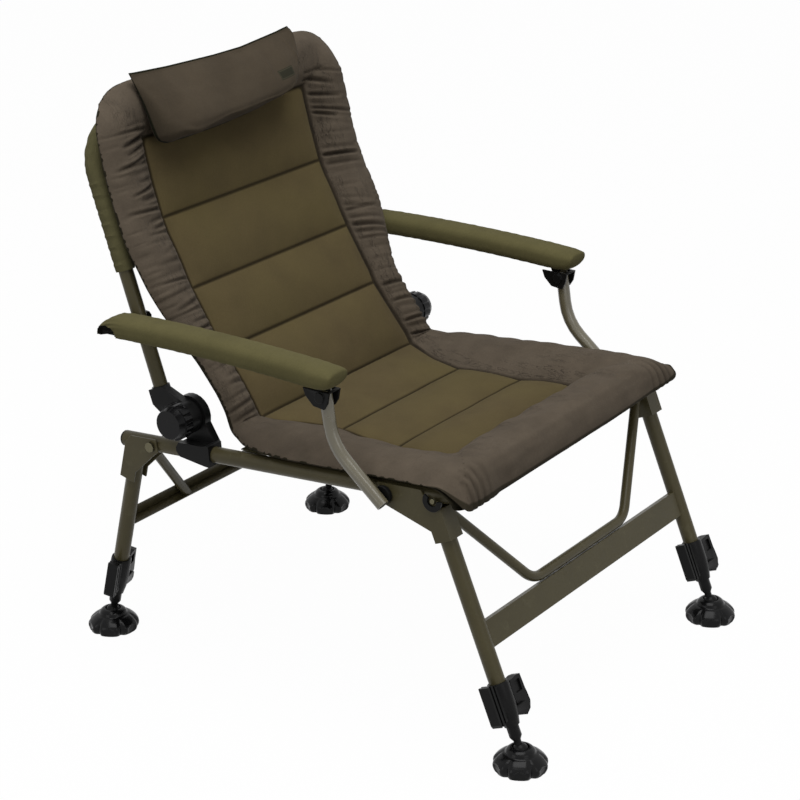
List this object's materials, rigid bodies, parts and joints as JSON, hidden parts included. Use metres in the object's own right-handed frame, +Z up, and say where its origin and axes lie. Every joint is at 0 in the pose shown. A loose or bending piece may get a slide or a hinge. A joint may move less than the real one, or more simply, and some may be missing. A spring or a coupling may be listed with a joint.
{
  "type": "reclining folding chair",
  "caption": "Folding outdoor armchair with quilted mattress, reclining back, parallel-linkage armrests and leg ends that slide to level it on swivel feet.",
  "frame": {"origin": "on the ground in the middle between the four feet", "axes": "+X across the chair from its left to its right as drawn from the front, +Y from the front to the back, +Z up"},
  "size_m": [0.6224, 0.7576, 0.801],
  "materials": {
    "olive_paint": "satin olive-brown powder coat",
    "black_plastic": "moulded black plastic",
    "gloss_black": "glossy black rubbery plastic",
    "bolt_steel": "darkened steel",
    "mattress_cloth": "peached woven polyester with brushed olive panels",
    "armrest_cloth": "olive woven cover over foam",
    "sling_cloth": "coarse woven polyester"
  },
  "bodies": {
    "seat": {"seat_frame": "olive_paint", "seat_cross_tube": "olive_paint", "seat_sling": "sling_cloth", "seat_mattress": "mattress_cloth", "rail_end_cap_left": "black_plastic", "rail_end_cap_right": "black_plastic", "recliner_shoe_left": "black_plastic", "recliner_shoe_right": "black_plastic", "front_pivot_bolt_left": "bolt_steel", "front_pivot_bolt_right": "bolt_steel", "rear_pivot_bolt_left": "bolt_steel", "rear_pivot_bolt_right": "bolt_steel"},
    "back": {"back_frame": "olive_paint", "back_sling": "sling_cloth", "back_mattress": "mattress_cloth", "lumbar_mattress": "mattress_cloth", "head_pillow": "mattress_cloth", "recliner_arm_left": "black_plastic", "recliner_arm_right": "black_plastic", "armrest_bolt_left": "black_plastic", "armrest_bolt_right": "black_plastic"},
    "front_legs": {"front_crossbar": "olive_paint", "front_brace": "olive_paint", "front_leg_left": "olive_paint", "front_leg_right": "olive_paint", "front_bracket_left": "olive_paint", "front_bracket_right": "olive_paint", "front_collar_left": "black_plastic", "front_collar_right": "black_plastic"},
    "rear_legs": {"rear_crossbar": "olive_paint", "rear_leg_left": "olive_paint", "rear_leg_right": "olive_paint", "rear_bracket_left": "olive_paint", "rear_bracket_right": "olive_paint", "rear_collar_left": "black_plastic", "rear_collar_right": "black_plastic"},
    "knob_left": {"recliner_knob_left": "black_plastic"},
    "armrest_left": {"armrest_core_left": "black_plastic", "armrest_pad_left": "armrest_cloth", "armrest_clevis_left": "black_plastic"},
    "link_left": {"arm_link_left": "olive_paint", "link_spacer_left": "black_plastic"},
    "knob_right": {"recliner_knob_right": "black_plastic"},
    "armrest_right": {"armrest_core_right": "black_plastic", "armrest_pad_right": "armrest_cloth", "armrest_clevis_right": "black_plastic"},
    "link_right": {"arm_link_right": "olive_paint", "link_spacer_right": "black_plastic"},
    "front_inner_left": {"front_inner_leg_left": "black_plastic"},
    "front_cam_left": {"front_lever_left": "black_plastic"},
    "front_pad_left": {"front_foot_left": "gloss_black"},
    "front_inner_right": {"front_inner_leg_right": "black_plastic"},
    "front_cam_right": {"front_lever_right": "black_plastic"},
    "front_pad_right": {"front_foot_right": "gloss_black"},
    "rear_inner_left": {"rear_inner_leg_left": "black_plastic"},
    "rear_cam_left": {"rear_lever_left": "black_plastic"},
    "rear_pad_left": {"rear_foot_left": "gloss_black"},
    "rear_inner_right": {"rear_inner_leg_right": "black_plastic"},
    "rear_cam_right": {"rear_lever_right": "black_plastic"},
    "rear_pad_right": {"rear_foot_right": "gloss_black"}
  },
  "joints": [
    {"name": "back_recline", "type": "hinge", "parent": "seat", "child": "back", "pos_m": [0, 0.18933, 0.36013], "axis": [1, 0, 0], "range_deg": [-35, 95], "deforming": ["lumbar_mattress"]},
    {"name": "knob_turn_left", "type": "hinge", "parent": "seat", "child": "knob_left", "pos_m": [-0.286, 0.18933, 0.36013], "axis": [1, 0, 0], "range_deg": [-360, 360]},
    {"name": "armrest_swing_left", "type": "hinge", "parent": "back", "child": "armrest_left", "pos_m": [-0.2885, 0.26757, 0.48231], "axis": [1, 0, 0], "range_deg": [-96, 36]},
    {"name": "link_swing_left", "type": "hinge", "parent": "seat", "child": "link_left", "pos_m": [-0.2845, -0.14442, 0.33475], "axis": [1, 0, 0], "range_deg": [-36, 96]},
    {"name": "knob_turn_right", "type": "hinge", "parent": "seat", "child": "knob_right", "pos_m": [0.286, 0.18933, 0.36013], "axis": [1, 0, 0], "range_deg": [-360, 360]},
    {"name": "armrest_swing_right", "type": "hinge", "parent": "back", "child": "armrest_right", "pos_m": [0.2885, 0.26757, 0.48231], "axis": [1, 0, 0], "range_deg": [-96, 36]},
    {"name": "link_swing_right", "type": "hinge", "parent": "seat", "child": "link_right", "pos_m": [0.2845, -0.14442, 0.33475], "axis": [1, 0, 0], "range_deg": [-36, 96]},
    {"name": "front_legs_fold", "type": "hinge", "parent": "seat", "child": "front_legs", "pos_m": [0, -0.14442, 0.33475], "axis": [1, 0, 0], "range_deg": [0, 105]},
    {"name": "rear_legs_fold", "type": "hinge", "parent": "seat", "child": "rear_legs", "pos_m": [0, 0.24502, 0.30715], "axis": [1, 0, 0], "range_deg": [-100, 0]},
    {"name": "front_leg_extend_left", "type": "slide", "parent": "front_legs", "child": "front_inner_left", "axis": [0, 0.3866, 0.9223], "range_m": [-0.09, 0.02]},
    {"name": "front_lever_open_left", "type": "hinge", "parent": "front_legs", "child": "front_cam_left", "pos_m": [-0.226, -0.32547, 0.06927], "axis": [0, 0.9223, -0.3866], "range_deg": [0, 110]},
    {"name": "front_foot_tilt_left", "type": "hinge", "parent": "front_inner_left", "child": "front_pad_left", "pos_m": [-0.255, -0.34403, 0.025], "axis": [1, 0, 0], "range_deg": [-50, 6]},
    {"name": "front_leg_extend_right", "type": "slide", "parent": "front_legs", "child": "front_inner_right", "axis": [0, 0.3866, 0.9223], "range_m": [-0.09, 0.02]},
    {"name": "front_lever_open_right", "type": "hinge", "parent": "front_legs", "child": "front_cam_right", "pos_m": [0.284, -0.32547, 0.06927], "axis": [0, 0.9223, -0.3866], "range_deg": [0, 110]},
    {"name": "front_foot_tilt_right", "type": "hinge", "parent": "front_inner_right", "child": "front_pad_right", "pos_m": [0.255, -0.34403, 0.025], "axis": [1, 0, 0], "range_deg": [-50, 6]},
    {"name": "rear_leg_extend_left", "type": "slide", "parent": "rear_legs", "child": "rear_inner_left", "axis": [0, 0.2328, -0.9725], "range_m": [-0.02, 0.09]},
    {"name": "rear_lever_open_left", "type": "hinge", "parent": "rear_legs", "child": "rear_cam_left", "pos_m": [-0.22742, 0.34157, 0.07377], "axis": [-0.309, 0.9249, 0.2214], "range_deg": [0, 110]},
    {"name": "rear_foot_tilt_left", "type": "hinge", "parent": "rear_inner_left", "child": "rear_pad_left", "pos_m": [-0.255, 0.34403, 0.025], "axis": [1, 0, 0], "range_deg": [-16, 42]},
    {"name": "rear_leg_extend_right", "type": "slide", "parent": "rear_legs", "child": "rear_inner_right", "axis": [0, 0.2328, -0.9725], "range_m": [-0.02, 0.09]},
    {"name": "rear_lever_open_right", "type": "hinge", "parent": "rear_legs", "child": "rear_cam_right", "pos_m": [0.284, 0.33285, 0.07168], "axis": [0, 0.9725, 0.2328], "range_deg": [0, 110]},
    {"name": "rear_foot_tilt_right", "type": "hinge", "parent": "rear_inner_right", "child": "rear_pad_right", "pos_m": [0.255, 0.34403, 0.025], "axis": [1, 0, 0], "range_deg": [-16, 42]}
  ],
  "couplings": [
    {"joint": "armrest_swing_left", "follows": "back_recline", "ratio": -1},
    {"joint": "link_swing_left", "follows": "back_recline", "ratio": 1},
    {"joint": "armrest_swing_right", "follows": "back_recline", "ratio": -1},
    {"joint": "link_swing_right", "follows": "back_recline", "ratio": 1}
  ]
}
